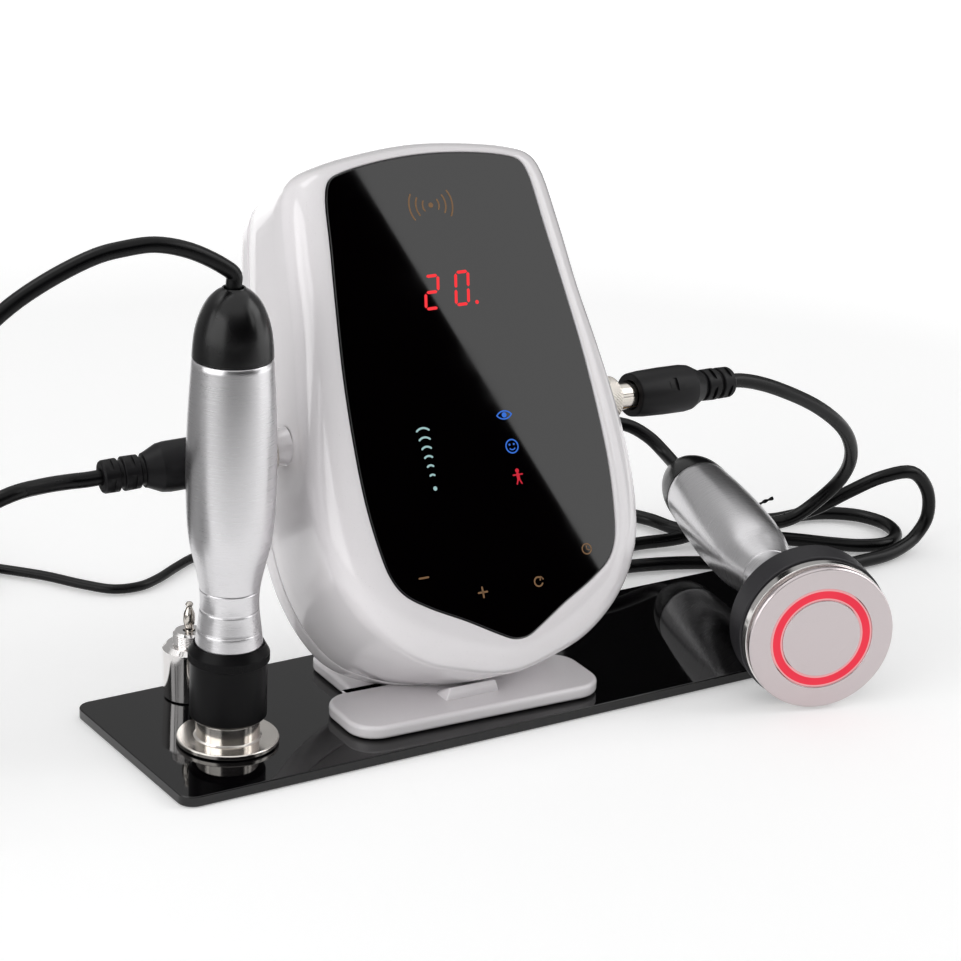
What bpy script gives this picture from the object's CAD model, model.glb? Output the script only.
"""Looks of a tripolar radio frequency beauty device: console on its stand, two handpieces,
a spare tip, three leads and a mains adapter. Lengths are millimetres until a mesh is made."""

import math

import bmesh
import bpy
from mathutils import Matrix, Vector


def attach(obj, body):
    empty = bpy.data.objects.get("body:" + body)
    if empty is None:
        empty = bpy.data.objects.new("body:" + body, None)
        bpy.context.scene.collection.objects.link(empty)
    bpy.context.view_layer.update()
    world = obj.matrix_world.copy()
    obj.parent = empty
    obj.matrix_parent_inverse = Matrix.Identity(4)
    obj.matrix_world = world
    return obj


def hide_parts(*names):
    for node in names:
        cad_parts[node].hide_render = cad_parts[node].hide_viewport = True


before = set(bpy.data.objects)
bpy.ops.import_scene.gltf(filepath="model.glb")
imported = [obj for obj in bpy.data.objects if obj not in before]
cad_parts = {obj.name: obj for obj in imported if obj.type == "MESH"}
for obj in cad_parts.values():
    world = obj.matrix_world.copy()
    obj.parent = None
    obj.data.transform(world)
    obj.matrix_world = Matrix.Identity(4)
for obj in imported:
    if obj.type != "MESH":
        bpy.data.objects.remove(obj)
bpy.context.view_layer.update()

MM = 0.001
TURN = 2 * math.pi
QUARTER = math.pi / 2


# Frames: the console's, the two handpieces' and the stand's, as in the part's source

def turned_about(axis, degrees):
    return Matrix.Rotation(math.radians(degrees), 4, axis)


def moved(*offset):
    return Matrix.Translation(offset)


FIT = 0.3
LEAN = 28.4
CONSOLE_HEIGHT, PLATE_TOP = 110.3, 4.3
CONSOLE = moved(-15.8, -17.6, CONSOLE_HEIGHT) @ turned_about("Z", -2.5) @ turned_about("X", 90 - LEAN)
STAND = moved(-19.3, -20.2, PLATE_TOP) @ turned_about("Z", -2.5)
FACE_HEAD = moved(-113.8, -8.5, PLATE_TOP)
FACE_COLLAR = FACE_HEAD @ moved(0, 0, 9.5)
FACE_HANDLE = FACE_COLLAR @ moved(0, 0, 27.5)
BODY_HEAD = moved(102, -80.4, 29.75) @ turned_about("Z", 72.5) @ turned_about("Y", 90 - 1.07)
BODY_HANDLE = BODY_HEAD @ moved(0, 0, 36.9)
SPARE_TIP = moved(-108.3, 33.2, PLATE_TOP)


def flank(side):
    return CONSOLE @ moved(side * 66, 9.2, -28) @ turned_about("Y", side * 97)


FLANKS = {"left": flank(-1), "right": flank(1)}


# Camera, where the photographer stood

CAMERA_AT = Vector((-0.6211, -0.9508, 0.5094))
CAMERA_ROLL = 2.45
PHOTO_WIDTH, FOCAL_PIXELS, SENSOR = 961, 3219, 36


def set_camera():
    forward = Vector((0.5103, 0.7850, -0.3512)).normalized()
    level_right = Vector((0.8384, -0.5450, 0)).normalized()
    level_up = level_right.cross(forward)
    roll = math.radians(CAMERA_ROLL)
    right = math.cos(roll) * level_right + math.sin(roll) * level_up
    up = math.cos(roll) * level_up - math.sin(roll) * level_right
    camera = bpy.data.objects.new("camera", bpy.data.cameras.new("camera"))
    camera.matrix_world = Matrix((right, up, -forward)).transposed().to_4x4()
    camera.matrix_world.translation = CAMERA_AT
    camera.data.sensor_width = SENSOR
    camera.data.lens = FOCAL_PIXELS * SENSOR / PHOTO_WIDTH
    camera.data.clip_start, camera.data.clip_end = 0.05, 50
    bpy.context.scene.collection.objects.link(camera)
    bpy.context.scene.camera = camera


set_camera()


# Shader building

def put(tree, socket, value):
    if isinstance(value, bpy.types.NodeSocket):
        tree.links.new(value, socket)
    else:
        socket.default_value = value


def add_node(tree, kind, settings=None, inputs=None):
    node = tree.nodes.new(kind)
    for key, value in (settings or {}).items():
        setattr(node, key, value)
    for key, value in (inputs or {}).items():
        put(tree, node.inputs[key], value)
    return node


def maths(tree, operation, first, second=0.0):
    return add_node(tree, "ShaderNodeMath", {"operation": operation}, {0: first, 1: second}).outputs[0]


def ranged(tree, value, low, high, to_low, to_high):
    return add_node(tree, "ShaderNodeMapRange", None, {
        "Value": value, "From Min": low, "From Max": high, "To Min": to_low, "To Max": to_high,
    }).outputs["Result"]


def blended(tree, factor, first, second):
    return add_node(tree, "ShaderNodeMix", {"data_type": "RGBA"}, {
        0: factor, 6: (*first, 1), 7: (*second, 1),
    }).outputs[2]


def noise(tree, vector, scale, detail, roughness):
    return add_node(tree, "ShaderNodeTexNoise", None, {
        "Vector": vector, "Scale": scale, "Detail": detail, "Roughness": roughness,
    }).outputs["Fac"]


def node_group(name, kind, given, results):
    """A node group with its inputs and outputs: its tree, what it is given and where results go."""
    tree = bpy.data.node_groups.new(name, kind)
    for label, value in given.items():
        socket_type = {float: "Float", int: "Int"}.get(type(value), value)
        socket = tree.interface.new_socket(label, in_out="INPUT", socket_type=f"NodeSocket{socket_type}")
        if isinstance(value, (float, int)):
            socket.default_value = value
    for label, socket_type in results.items():
        tree.interface.new_socket(label, in_out="OUTPUT", socket_type=f"NodeSocket{socket_type}")
    return tree, tree.nodes.new("NodeGroupInput").outputs, tree.nodes.new("NodeGroupOutput").inputs


def handled_group():
    """Faint finger marks and dust on a glossy surface: a roughness and a mask."""
    tree, given, results = node_group(
        "handled surface", "ShaderNodeTree",
        {"Vector": "Vector", "Base Roughness": 0.1, "Mark Amount": 0.08, "Mark Scale": 40.0},
        {"Roughness": "Float", "Dust": "Float"},
    )
    smears = noise(tree, given["Vector"], given["Mark Scale"], 4.0, 0.6)
    specks = noise(tree, given["Vector"], 2600.0, 2.0, 0.5)
    rise = maths(tree, "MULTIPLY", ranged(tree, smears, 0.45, 0.75, 0.0, 1.0), given["Mark Amount"])
    tree.links.new(maths(tree, "ADD", rise, given["Base Roughness"]), results["Roughness"])
    tree.links.new(ranged(tree, specks, 0.68, 0.76, 0.0, 1.0), results["Dust"])
    return tree


def grain_group():
    """Fine moulded or blasted grain: a height and a slow change of tone."""
    tree, given, results = node_group(
        "fine grain", "ShaderNodeTree", {"Vector": "Vector", "Grain Scale": 1500.0},
        {"Height": "Float", "Tone": "Float"}
    )
    tree.links.new(noise(tree, given["Vector"], given["Grain Scale"], 3.0, 0.7), results["Height"])
    tree.links.new(noise(tree, given["Vector"], 60.0, 2.0, 0.5), results["Tone"])
    return tree


def turning_group():
    """Fine lathe lines about the Z axis of the given coordinates: a height and a mask."""
    tree, given, results = node_group(
        "lathe lines", "ShaderNodeTree", {"Vector": "Vector", "Lines Per Metre": 6000.0, "Across Face": 0.0},
        {"Height": "Float", "Tone": "Float"},
    )
    x, y, z = add_node(tree, "ShaderNodeSeparateXYZ", None, {0: given["Vector"]}).outputs
    squares = [maths(tree, "MULTIPLY", part, part) for part in (x, y)]
    reach = maths(tree, "SQRT", maths(tree, "ADD", *squares))
    along = add_node(tree, "ShaderNodeMix", {"data_type": "FLOAT"}, {0: given["Across Face"], 2: z, 3: reach})
    place = maths(tree, "MULTIPLY", along.outputs[0], given["Lines Per Metre"])
    round_it = maths(tree, "MULTIPLY", maths(tree, "ARCTAN2", y, x), 0.6)
    line = add_node(tree, "ShaderNodeCombineXYZ", None, {0: place, 1: round_it}).outputs[0]
    lines = noise(tree, line, 1.0, 3.0, 0.65)
    tree.links.new(lines, results["Height"])
    tree.links.new(ranged(tree, lines, 0.3, 0.7, 0.0, 1.0), results["Tone"])
    return tree


HANDLED, GRAIN, TURNING = handled_group(), grain_group(), turning_group()


class Finish:
    """A material being built: its tree, its shader and its object coordinates."""

    def __init__(self, name, **constants):
        self.material = bpy.data.materials.new(name)
        self.material.use_nodes = True
        self.tree = self.material.node_tree
        self.shader = self.tree.nodes["Principled BSDF"]
        self.coordinates = self.tree.nodes.new("ShaderNodeTexCoord").outputs["Object"]
        for key, value in constants.items():
            self.shader.inputs[key.replace("_", " ")].default_value = value

    def centred(self, place):
        """Coordinates turned and moved so that a piece's own axis is Z."""
        offset, turn, _ = place_in_metres(place).inverted().decompose()
        return add_node(self.tree, "ShaderNodeMapping", None, {
            "Vector": self.coordinates, "Location": offset, "Rotation": turn.to_euler("XYZ"),
        }).outputs["Vector"]

    def group(self, group, **inputs):
        named = {key.replace("_", " "): value for key, value in inputs.items()}
        return add_node(self.tree, "ShaderNodeGroup", {"node_tree": group}, named).outputs

    def feed(self, socket, value):
        self.tree.links.new(value, self.shader.inputs[socket])

    def bump(self, height, strength, distance):
        node = add_node(self.tree, "ShaderNodeBump", None, {
            "Strength": strength, "Distance": distance, "Height": height,
        })
        self.feed("Normal", node.outputs["Normal"])


def place_in_metres(place):
    result = place.copy()
    result.translation *= MM
    return result


def gloss_plastic(name, colour, dusty, base_roughness, mark_amount, coat=0.0):
    finish = Finish(name, IOR=1.5, Coat_Weight=coat, Coat_Roughness=0.03)
    marks = finish.group(
        HANDLED, Vector=finish.coordinates, Base_Roughness=base_roughness, Mark_Amount=mark_amount,
        Mark_Scale=28.0
    )
    finish.feed("Roughness", marks["Roughness"])
    finish.feed("Base Color", blended(finish.tree, marks["Dust"], colour, dusty))
    return finish.material


def moulded(name, dark, light, base_roughness, grain_scale, depth, **constants):
    finish = Finish(name, **constants)
    grain = finish.group(GRAIN, Vector=finish.coordinates, Grain_Scale=grain_scale)
    finish.feed("Base Color", blended(finish.tree, grain["Tone"], dark, light))
    rough = ranged(finish.tree, grain["Tone"], 0.3, 0.7, base_roughness - 0.04, base_roughness + 0.05)
    finish.feed("Roughness", rough)
    finish.bump(grain["Height"], 0.35, depth)
    return finish.material


def turned_metal(
    name, place, dark, light, roughness, lines, depth, across_face=0.0, strength=0.25, spread=0.035
):
    finish = Finish(name, Metallic=1.0)
    cut = finish.group(
        TURNING, Vector=finish.centred(place), Lines_Per_Metre=lines, Across_Face=across_face
    )
    finish.feed("Base Color", blended(finish.tree, cut["Tone"], dark, light))
    rough = ranged(finish.tree, cut["Tone"], 0.0, 1.0, roughness - spread, roughness + spread)
    finish.feed("Roughness", rough)
    finish.bump(cut["Height"], strength, depth)
    return finish.material


def lit(name, colour, strength, glow):
    finish = Finish(name, Roughness=0.5, Emission_Strength=strength, Specular_IOR_Level=0.0)
    grain = finish.group(GRAIN, Vector=finish.coordinates, Grain_Scale=700.0)
    finish.feed("Emission Color", blended(finish.tree, grain["Tone"], colour, glow))
    unlit = [tuple(0.08 * part for part in shade) for shade in (colour, glow)]
    finish.feed("Base Color", blended(finish.tree, grain["Height"], *unlit))
    return finish.material


WHITE_SHELL = gloss_plastic(
    "white shell", (0.8, 0.775, 0.79), (0.62, 0.6, 0.61), 0.16, 0.05, coat=0.5
)
BLACK_ACRYLIC = gloss_plastic(
    "black acrylic", (0.0012, 0.001, 0.0014), (0.006, 0.006, 0.006), 0.03, 0.05
)
PANEL_GLASS = gloss_plastic(
    "panel glass", (0.0006, 0.0003, 0.0005), (0.003, 0.003, 0.003), 0.02, 0.02
)
SATIN_BLACK = moulded(
    "satin black plastic", (0.001, 0.0009, 0.0012), (0.0022, 0.002, 0.0024), 0.26, 2400.0, 0.00002,
    Specular_IOR_Level=0.45,
)
COLLAR_BLACK = moulded(
    "collar black plastic", (0.0012, 0.0011, 0.0015), (0.0024, 0.0022, 0.0028), 0.36, 2400.0, 0.00002,
    Specular_IOR_Level=0.14,
)
CUP_BLACK = moulded(
    "cup black plastic", (0.01, 0.009, 0.012), (0.015, 0.014, 0.017), 0.42, 2000.0, 0.00002,
    Specular_IOR_Level=0.4,
)
RUBBER_BLACK = moulded(
    "black rubber", (0.0022, 0.0019, 0.0026), (0.0042, 0.0038, 0.0048), 0.42, 1800.0, 0.00003,
    Specular_IOR_Level=0.2,
)
JACKET_BLACK = moulded(
    "lead jacket", (0.0006, 0.0006, 0.0008), (0.0014, 0.0014, 0.0018), 0.28, 900.0, 0.00003,
    Specular_IOR_Level=0.22,
)
BOARD_GREEN = moulded(
    "circuit board", (0.01, 0.075, 0.03), (0.02, 0.11, 0.05), 0.42, 500.0, 0.00003
)
WOUND_CORE = moulded("wound core", (0.2, 0.07, 0.03), (0.3, 0.12, 0.05), 0.35, 700.0, 0.0001)
DIFFUSER = moulded("diffuser", (0.62, 0.66, 0.68), (0.74, 0.78, 0.8), 0.30, 300.0, 0.00001)
BRASS = moulded("bare brass", (0.55, 0.34, 0.11), (0.64, 0.42, 0.15), 0.26, 900.0, 0.00001, Metallic=1.0)
PLAIN_NICKEL = moulded(
    "plated nickel", (0.64, 0.6, 0.55), (0.72, 0.68, 0.63), 0.17, 700.0, 0.00001, Metallic=1.0
)
BLOCK_ALLOY = moulded(
    "extruded alloy", (0.55, 0.56, 0.58), (0.66, 0.67, 0.69), 0.32, 900.0, 0.00002, Metallic=1.0
)
TIP_CHROME = moulded(
    "tip chrome", (0.82, 0.8, 0.79), (0.88, 0.86, 0.85), 0.12, 500.0, 0.000004, Metallic=1.0
)
BAND_NICKEL = moulded(
    "polished nickel", (0.78, 0.76, 0.74), (0.84, 0.82, 0.8), 0.12, 500.0, 0.000004, Metallic=1.0
)
FACE_ALLOY, BODY_ALLOY = (
    turned_metal(
        f"{part} handle alloy", place, (0.735, 0.725, 0.74), (0.75, 0.74, 0.755), 0.28, 5200.0, 0.000002,
        strength=0.01, spread=0.012,
    )
    for part, place in (("face", FACE_HANDLE), ("body", BODY_HANDLE))
)
FACE_NICKEL = turned_metal(
    "face head nickel", FACE_HEAD, (0.74, 0.7, 0.66), (0.82, 0.78, 0.73), 0.17, 4200.0, 0.00001, strength=0.08
)
DISC_NICKEL = turned_metal(
    "body disc nickel", BODY_HEAD, (0.585, 0.53, 0.535), (0.62, 0.56, 0.57), 0.24, 5200.0, 0.00001,
    across_face=1.0, strength=0.05,
)
LIT_RED = lit("red ring light", (0.7, 0.035, 0.065), 1.0, (0.88, 0.06, 0.09))
LIT_PALE = lit("ring light edge", (1.0, 0.42, 0.44), 0.75, (1.0, 0.5, 0.52))
DIGIT_RED = lit("digit light", (1.0, 0.03, 0.04), 1.0, (1.0, 0.06, 0.07))
MARK_BLUE = lit("mark light blue", (0.03, 0.14, 0.62), 0.9, (0.06, 0.2, 0.75))
MARK_RED = lit("mark light red", (0.62, 0.015, 0.04), 0.8, (0.75, 0.04, 0.06))
MARK_PALE = lit("mark light pale", (0.34, 0.56, 0.56), 0.8, (0.46, 0.66, 0.66))
MARK_GOLD = moulded("gold print", (0.16, 0.075, 0.022), (0.22, 0.11, 0.035), 0.45, 900.0, 0.00001)


# Mesh building

SHARP = 38


def new_object(name, data):
    obj = bpy.data.objects.new(name, data)
    bpy.context.scene.collection.objects.link(obj)
    return obj


def finished(name, mesh, material, replaced=(), body="base"):
    """A mesh as a piece on a body, in place of the frame's nodes that it replaces."""
    mesh.materials.clear()
    mesh.materials.append(material)
    obj = new_object(name, mesh)
    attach(obj, body)
    if replaced:
        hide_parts(*replaced)
    return obj


def smoothed(mesh, sharp):
    mesh.shade_smooth()
    mesh.set_sharp_from_angle(angle=math.radians(sharp))
    return mesh


def placed_mesh(name, builder, place):
    """A bmesh in its own frame and in millimetres, put in place, in metres, its faces out."""
    bmesh.ops.recalc_face_normals(builder, faces=builder.faces)
    builder.transform(Matrix.Scale(MM, 4) @ place)
    mesh = bpy.data.meshes.new(name)
    builder.to_mesh(mesh)
    builder.free()
    return mesh


def piece(name, builder, place, sharp, material, replaced=(), body="base"):
    bmesh.ops.remove_doubles(builder, verts=builder.verts, dist=1e-4)
    mesh = smoothed(placed_mesh(name, builder, place), sharp)
    return finished(name, mesh, material, replaced, body)


def joined(builder, extra):
    """Adds one bmesh to another."""
    mesh = bpy.data.meshes.new("extra")
    extra.to_mesh(mesh)
    extra.free()
    builder.from_mesh(mesh)
    bpy.data.meshes.remove(mesh)


def arc(centre, radius, start, end, steps):
    """Points on an arc in a plane, both its ends included."""
    angles = [math.radians(start + (end - start) * k / steps) for k in range(steps + 1)]
    return [Vector((centre[0] + radius * math.cos(a), centre[1] + radius * math.sin(a))) for a in angles]


def circle(radius, height, segments):
    return [p.to_3d() + Vector((0, 0, height)) for p in arc((0, 0), radius, 0, 360, segments)[:-1]]


def eased(profile, radius, closed=False):
    """A profile with its corners rounded, and a point close to each end of each round."""
    points = [Vector(p) for p in profile]
    steps, last = 4, len(points) - 1
    result = []
    for i, point in enumerate(points):
        if not closed and i in (0, last):
            result.append(point)
            continue
        before, after = points[i - 1] - point, points[(i + 1) % len(points)] - point
        if before.length < 1e-6 or after.length < 1e-6:
            continue
        bend = math.pi - before.angle(after)
        if bend < math.radians(12):
            result.append(point)
            continue
        reach = min(radius * math.tan(bend / 2), 0.42 * before.length, 0.42 * after.length)
        edge = min(reach + 0.12, 0.48 * before.length, 0.48 * after.length)
        start, end = point + before.normalized() * reach, point + after.normalized() * reach
        result.append(point + before.normalized() * edge)
        for t in [k / steps for k in range(steps + 1)]:
            result.append(start * (1 - t) ** 2 + point * 2 * t * (1 - t) + end * t ** 2)
        result.append(point + after.normalized() * edge)
    return result


def walled(builder, low, high):
    """Faces between two rings of corners, or between a ring and a single corner."""
    size = max(len(low), len(high))
    for k in range(size):
        j = (k + 1) % size
        if len(low) == 1:
            builder.faces.new((low[0], high[j], high[k]))
        elif len(high) == 1:
            builder.faces.new((low[k], low[j], high[0]))
        else:
            builder.faces.new((low[k], low[j], high[j], high[k]))


def turned(profile, segments=96, closed=False):
    """A bmesh turned about Z from [radius, height] points."""
    builder = bmesh.new()
    rings = []
    for radius, height in profile:
        ring = [(0, 0, height)] if radius < 1e-5 else circle(radius, height, segments)
        rings.append([builder.verts.new(point) for point in ring])
    if closed:
        rings.append(rings[0])
    for low, high in zip(rings, rings[1:]):
        if len(low) + len(high) > 2:
            walled(builder, low, high)
    return builder


def lofted(rings, closed=False):
    """A bmesh over rings of points: closed back to its first ring, or with a flat face at each end."""
    builder = bmesh.new()
    made = [[builder.verts.new(point) for point in ring] for ring in rings]
    if closed:
        made.append(made[0])
    else:
        builder.faces.new(reversed(made[0]))
        builder.faces.new(made[-1])
    for low, high in zip(made, made[1:]):
        walled(builder, low, high)
    return builder


def turned_piece(
    name, profile, place, material, replaced=(), body="base", radius=0.3, segments=96, closed=False
):
    builder = turned(eased(profile, radius, closed), segments, closed)
    return piece(name, builder, place, SHARP, material, replaced, body)


def spline(points, steps, closed=False):
    """Points on a centripetal Catmull-Rom curve through the given ones, steps to a stretch."""
    given = [Vector(p) for p in points]
    count = len(given)
    result = []
    for i in range(count if closed else count - 1):
        if closed:
            a, b, c, d = (given[(i + k) % count] for k in (-1, 0, 1, 2))
        else:
            b, c = given[i], given[i + 1]
            a = given[i - 1] if i > 0 else 2 * b - c
            d = given[i + 2] if i + 2 < count else 2 * c - b
        knots = [0.0]
        for p, q in ((a, b), (b, c), (c, d)):
            knots.append(knots[-1] + max((q - p).length, 1e-6) ** 0.5)
        t0, t1, t2, t3 = knots
        between = lambda p, q, low, high, t: p * ((high - t) / (high - low)) + q * ((t - low) / (high - low))
        for t in [t1 + (t2 - t1) * k / steps for k in range(steps)]:
            ab, bc, cd = between(a, b, t0, t1, t), between(b, c, t1, t2, t), between(c, d, t2, t3, t)
            result.append(between(between(ab, bc, t0, t2, t), between(bc, cd, t1, t3, t), t1, t2, t))
    if not closed:
        result.append(given[-1])
    return result


# Leads, the same routes as in the part's source

def seat(place, depth, out):
    """Where a lead starts in its hole, leaves it, and a little way further out."""
    return [place @ Vector((0, 0, along)) for along in (0, depth, out)]


FACE_LEAD_NEAR = [
    (-117.8, -8.4, 184.9), (-130.5, -7.6, 191.9), (-143.5, -6.6, 195.4), (-154.5, -5.5, 195),
    (-164.5, -4.2, 193.2), (-182, -1.7, 185.7), (-197, 0.8, 176), (-214, 3.3, 159.5), (-230, 4.8, 138),
    (-243, 3.8, 114), (-251, -0.2, 88), (-256, -6.2, 60), (-260, -14.2, 35), (-265.5, -23, 15),
    (-273, -29, 4.7), (-282.5, -29.7, 2.95),
]
FACE_LEAD_FAR = [
    (-283.7, 39.3, 9.3), (-274, 39.3, 9.8), (-262, 38.3, 13), (-252, 35.8, 23), (-245, 32.8, 38),
    (-239, 29.8, 55), (-230, 26.3, 72), (-217, 22.8, 87), (-202, 20.8, 96.5), (-186, 19.8, 102.4),
    (-172, 24, 101.8), (-161, 26, 100.9),
]
BODY_LEAD = [
    (157, 100.8, 35.5), (153.5, 108.8, 41), (145.5, 114.8, 46), (130, 117.8, 48), (112, 116.8, 46),
    (93, 112.8, 40), (76, 105.8, 29), (66, 96.8, 18), (66, 86.8, 9.5), (76, 81.8, 4.6), (93, 82.3, 3.2),
    (114, 85.3, 3.2), (134, 85.8, 3.2), (153, 80.8, 4.4), (170, 75.8, 9.5), (184, 71.8, 9.7),
    (196, 65.8, 11.3), (207, 57.8, 16.5), (216, 47.8, 26), (227, 39.3, 34), (240, 34.8, 35.5),
    (248.5, 33.8, 26), (249.5, 33.6, 14), (243, 32.6, 6.5), (233, 29.6, 4), (222, 27.2, 3.2),
    (209, 26.4, 3.2), (195, 26.2, 3.2), (180, 29.4, 3.2), (166, 38.8, 3.2), (155, 50.3, 3.2),
    (140, 58.8, 3.2), (122, 64.8, 3.2), (102, 68.3, 3.2), (82, 69.8, 3.2), (64, 72.8, 3.2),
    (51, 80.8, 3.2), (46, 94.8, 3.2), (51, 108.8, 3.2), (65, 118.8, 3.2), (85, 124.8, 3.2),
    (108, 128.8, 3.2), (129, 127.8, 3.2), (146, 120.8, 3.2), (155, 107.8, 3.2), (159, 93.8, 3.2),
    (167, 81.8, 3.2), (178, 73.8, 3.2), (189, 66.8, 3.2), (200, 57.8, 3.2), (210, 48.3, 3.2),
    (220, 40.8, 3.2), (232, 38, 3.2), (242, 44.3, 3.2), (246, 56.8, 3.2), (241.5, 69.8, 3.2),
    (230, 78.8, 3.2), (216, 82.3, 3.2), (201, 82.3, 3.9), (187, 80.8, 10.2), (175, 74.8, 16.9),
    (171, 64.8, 17.4), (178, 55.8, 15.7), (190, 52.8, 16.7), (200, 48.8, 24.1), (205, 39.8, 37),
    (201, 29.8, 51.3), (191, 22.8, 65.6), (172.5, 17.8, 80.2), (149, 14, 92.8), (135, 13.5, 98.4),
]
POWER_LEAD = [
    (6.5, 73, 30.5), (6, 85.8, 15.5), (4.5, 95.8, 6.5), (2, 106.8, 2.4), (-1, 120.8, 2.3),
    (-6, 138.8, 2.3), (-16, 153.8, 2.3), (-28, 160.8, 2.3), (-41, 158.3, 2.3), (-53, 151.8, 2.3),
    (-65, 144.3, 2.3), (-75.5, 140.3, 2.3), (-86, 142.3, 2.3), (-94.5, 151.8, 2.3), (-105, 167.8, 2.3),
    (-118, 182.8, 2.3), (-129, 195.6, 2.3), (-137.1, 204.4, 2),
]


def coil(centre, radius, pitch, layer, turns, start, way, tail, diameter):
    """A coil in two layers, in and out at a steady rate, with a straight end each way."""
    half, count = turns / 2, round(turns * 20)
    points = []
    for t in [i / count * turns for i in range(count + 1)]:
        reach = radius - pitch * (half - abs(half - t))
        climb = min(max((t - half) / 0.5 + 0.5, 0), 1)
        angle = math.radians(start) + way * t * TURN
        height = diameter / 2 + layer * (1 - math.cos(climb * math.pi)) / 2
        points.append(Vector((*centre, height)) + reach * Vector((math.cos(angle), math.sin(angle), 0)))

    def along(t):
        angle = math.radians(start) + way * t * TURN
        return way * Vector((-math.sin(angle), math.cos(angle), 0))

    return [points[0] - along(0) * diameter, *points, points[-1] + along(turns) * tail]


def lead_curve(name, stretches, diameter, replaced):
    """One smooth open curve through a lead's stretches, as thick as the lead, and its length."""
    points = [point * MM for stretch in stretches for point in stretch]
    data = bpy.data.curves.new(name, "CURVE")
    data.dimensions = "3D"
    line = data.splines.new("POLY")
    line.points.add(len(points) - 1)
    for target, point in zip(line.points, points):
        target.co = (*point, 1)
    data.bevel_depth, data.bevel_resolution, data.use_fill_caps = diameter / 2 * MM, 5, True
    obj = finished(name, data, JACKET_BLACK, replaced)
    length = sum((b - a).length for a, b in zip(points, points[1:]))
    print(f"{name} is {length:.4f} m long")
    return obj, length


LEAD, THIN_LEAD = 5.8, 4.0
LEAD_SEAT, THIN_SEAT = (5.3, 9.0), (-3.5, -7.2)
CAP_END, PLUG_END = 131.0, 65.5
INLET_AT, INLET_PLUG_END = (20, -22), -90.9
COIL_AT, THIN_COIL_AT = (-290, 4.8), (-162.78, 188.25)
FACE_EXIT, BODY_EXIT = (
    seat(handle @ moved(0, 0, CAP_END), *LEAD_SEAT) for handle in (FACE_HANDLE, BODY_HANDLE)
)
LEFT_PLUG_END, RIGHT_PLUG_END = (
    seat(FLANKS[side] @ moved(0, 0, PLUG_END), *LEAD_SEAT) for side in ("left", "right")
)
POWER_EXIT = seat(CONSOLE @ moved(*INLET_AT, INLET_PLUG_END), *THIN_SEAT)
ADAPTER_END = Vector((THIN_COIL_AT[0] - 21 - FIT, 218.25, 0))


def route(*points):
    return spline(points, 5)


def face_lead():
    near = route(*FACE_EXIT, *FACE_LEAD_NEAR)
    wound = coil(COIL_AT, 34.5, 6.5, 6.4, 3.5, -90, -1, LEAD, LEAD)[1:-1]
    far = route(*FACE_LEAD_FAR, *reversed(LEFT_PLUG_END))
    replaced = ("face_lead_near", "face_lead_coil", "face_lead_far")
    return lead_curve("face_lead", [near, spline(wound, 2), far], LEAD, replaced)


def body_lead():
    line = route(*BODY_EXIT, *BODY_LEAD, *reversed(RIGHT_PLUG_END))
    return lead_curve("body_lead_run", [line], LEAD, ("body_lead",))


def power_lead():
    near = route(*POWER_EXIT, *POWER_LEAD)
    wound = coil(THIN_COIL_AT, 30, 4.7, 4.6, 7.1375, 40.5, 1, 21, THIN_LEAD)[1:]
    inside = [wound[-1] + Vector((-reach, 0, 0)) for reach in (12, 25)]
    return lead_curve(
        "power_lead_run", [near, spline(wound, 2), inside], THIN_LEAD, ("power_lead", "power_lead_coil")
    )


FACE_CORD, FACE_CORD_LENGTH = face_lead()
BODY_CORD, BODY_CORD_LENGTH = body_lead()
POWER_CORD, POWER_CORD_LENGTH = power_lead()


# Console shells, lofted through the panel's, the widest and the back outline

PANEL_HALF = [
    (0, 105.9), (19, 104.8), (34.5, 102.1), (39.6, 100), (42.1, 95.6), (44.8, 74), (47.5, 51), (49.9, 27),
    (51.1, 3), (51.1, -18), (49.5, -35), (47.1, -46.5), (43, -53.3), (34.2, -59.4), (20.5, -66.4),
    (9, -72.9), (3.4, -75.7), (0, -76.2),
]
NOSE_HALF = [
    (0, 112.5), (21, 111), (39, 108), (48.6, 104.6), (53.2, 99), (57, 76), (59.4, 51), (63.3, 26),
    (66.3, 3), (67, -18), (65.6, -35), (62.9, -46.5), (55.8, -60.5), (45.5, -71.6), (32, -80.2),
    (17, -85), (8, -87.2), (0, -88),
]
BACK_HALF = [
    (0, 111), (19, 109.6), (35.5, 106.8), (43.4, 104), (47.6, 99), (53.4, 76), (57.2, 51), (61, 26),
    (64.2, 3), (66, -18), (65.4, -35), (63.4, -46.5), (58.5, -60), (50.4, -71.6), (37, -79.4),
    (20, -84.8), (9, -87.2), (0, -87.8),
]
NOSE_DEPTH, BACK_DEPTH, CONSOLE_DEPTH = 14, 60, 72
SEAM, SEAM_GAP, WALL, BACK_SHARE = 54, 0.4, 2.5, 0.8
PANEL_PROUD, PANEL_THICKNESS = 0.5, 2.4


def outline(half):
    """The whole outline, smooth, from the right half's points."""
    left = [(-x, y) for x, y in half[-2:0:-1]]
    return spline([*half, *left], 5, closed=True)


def moved_out(ring, distance):
    """The outline moved outwards by a distance, or inwards where it is below zero."""
    count = len(ring)
    result = []
    for i, point in enumerate(ring):
        along = ring[(i + 1) % count] - ring[i - 1]
        result.append(point + Vector((-along.y, along.x)).normalized() * distance)
    return result


def part_way(first, second, share):
    return [a.lerp(b, share) for a, b in zip(first, second)]


def shrunk(ring, share):
    middle = (max(p.y for p in ring) + min(p.y for p in ring)) / 2
    return [Vector((p.x * share, middle + (p.y - middle) * share)) for p in ring]


def at_depth(ring, depth):
    return [(p.x, p.y, depth) for p in ring]


PANEL_RING, NOSE_RING, BACK_RING = outline(PANEL_HALF), outline(NOSE_HALF), outline(BACK_HALF)


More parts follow.
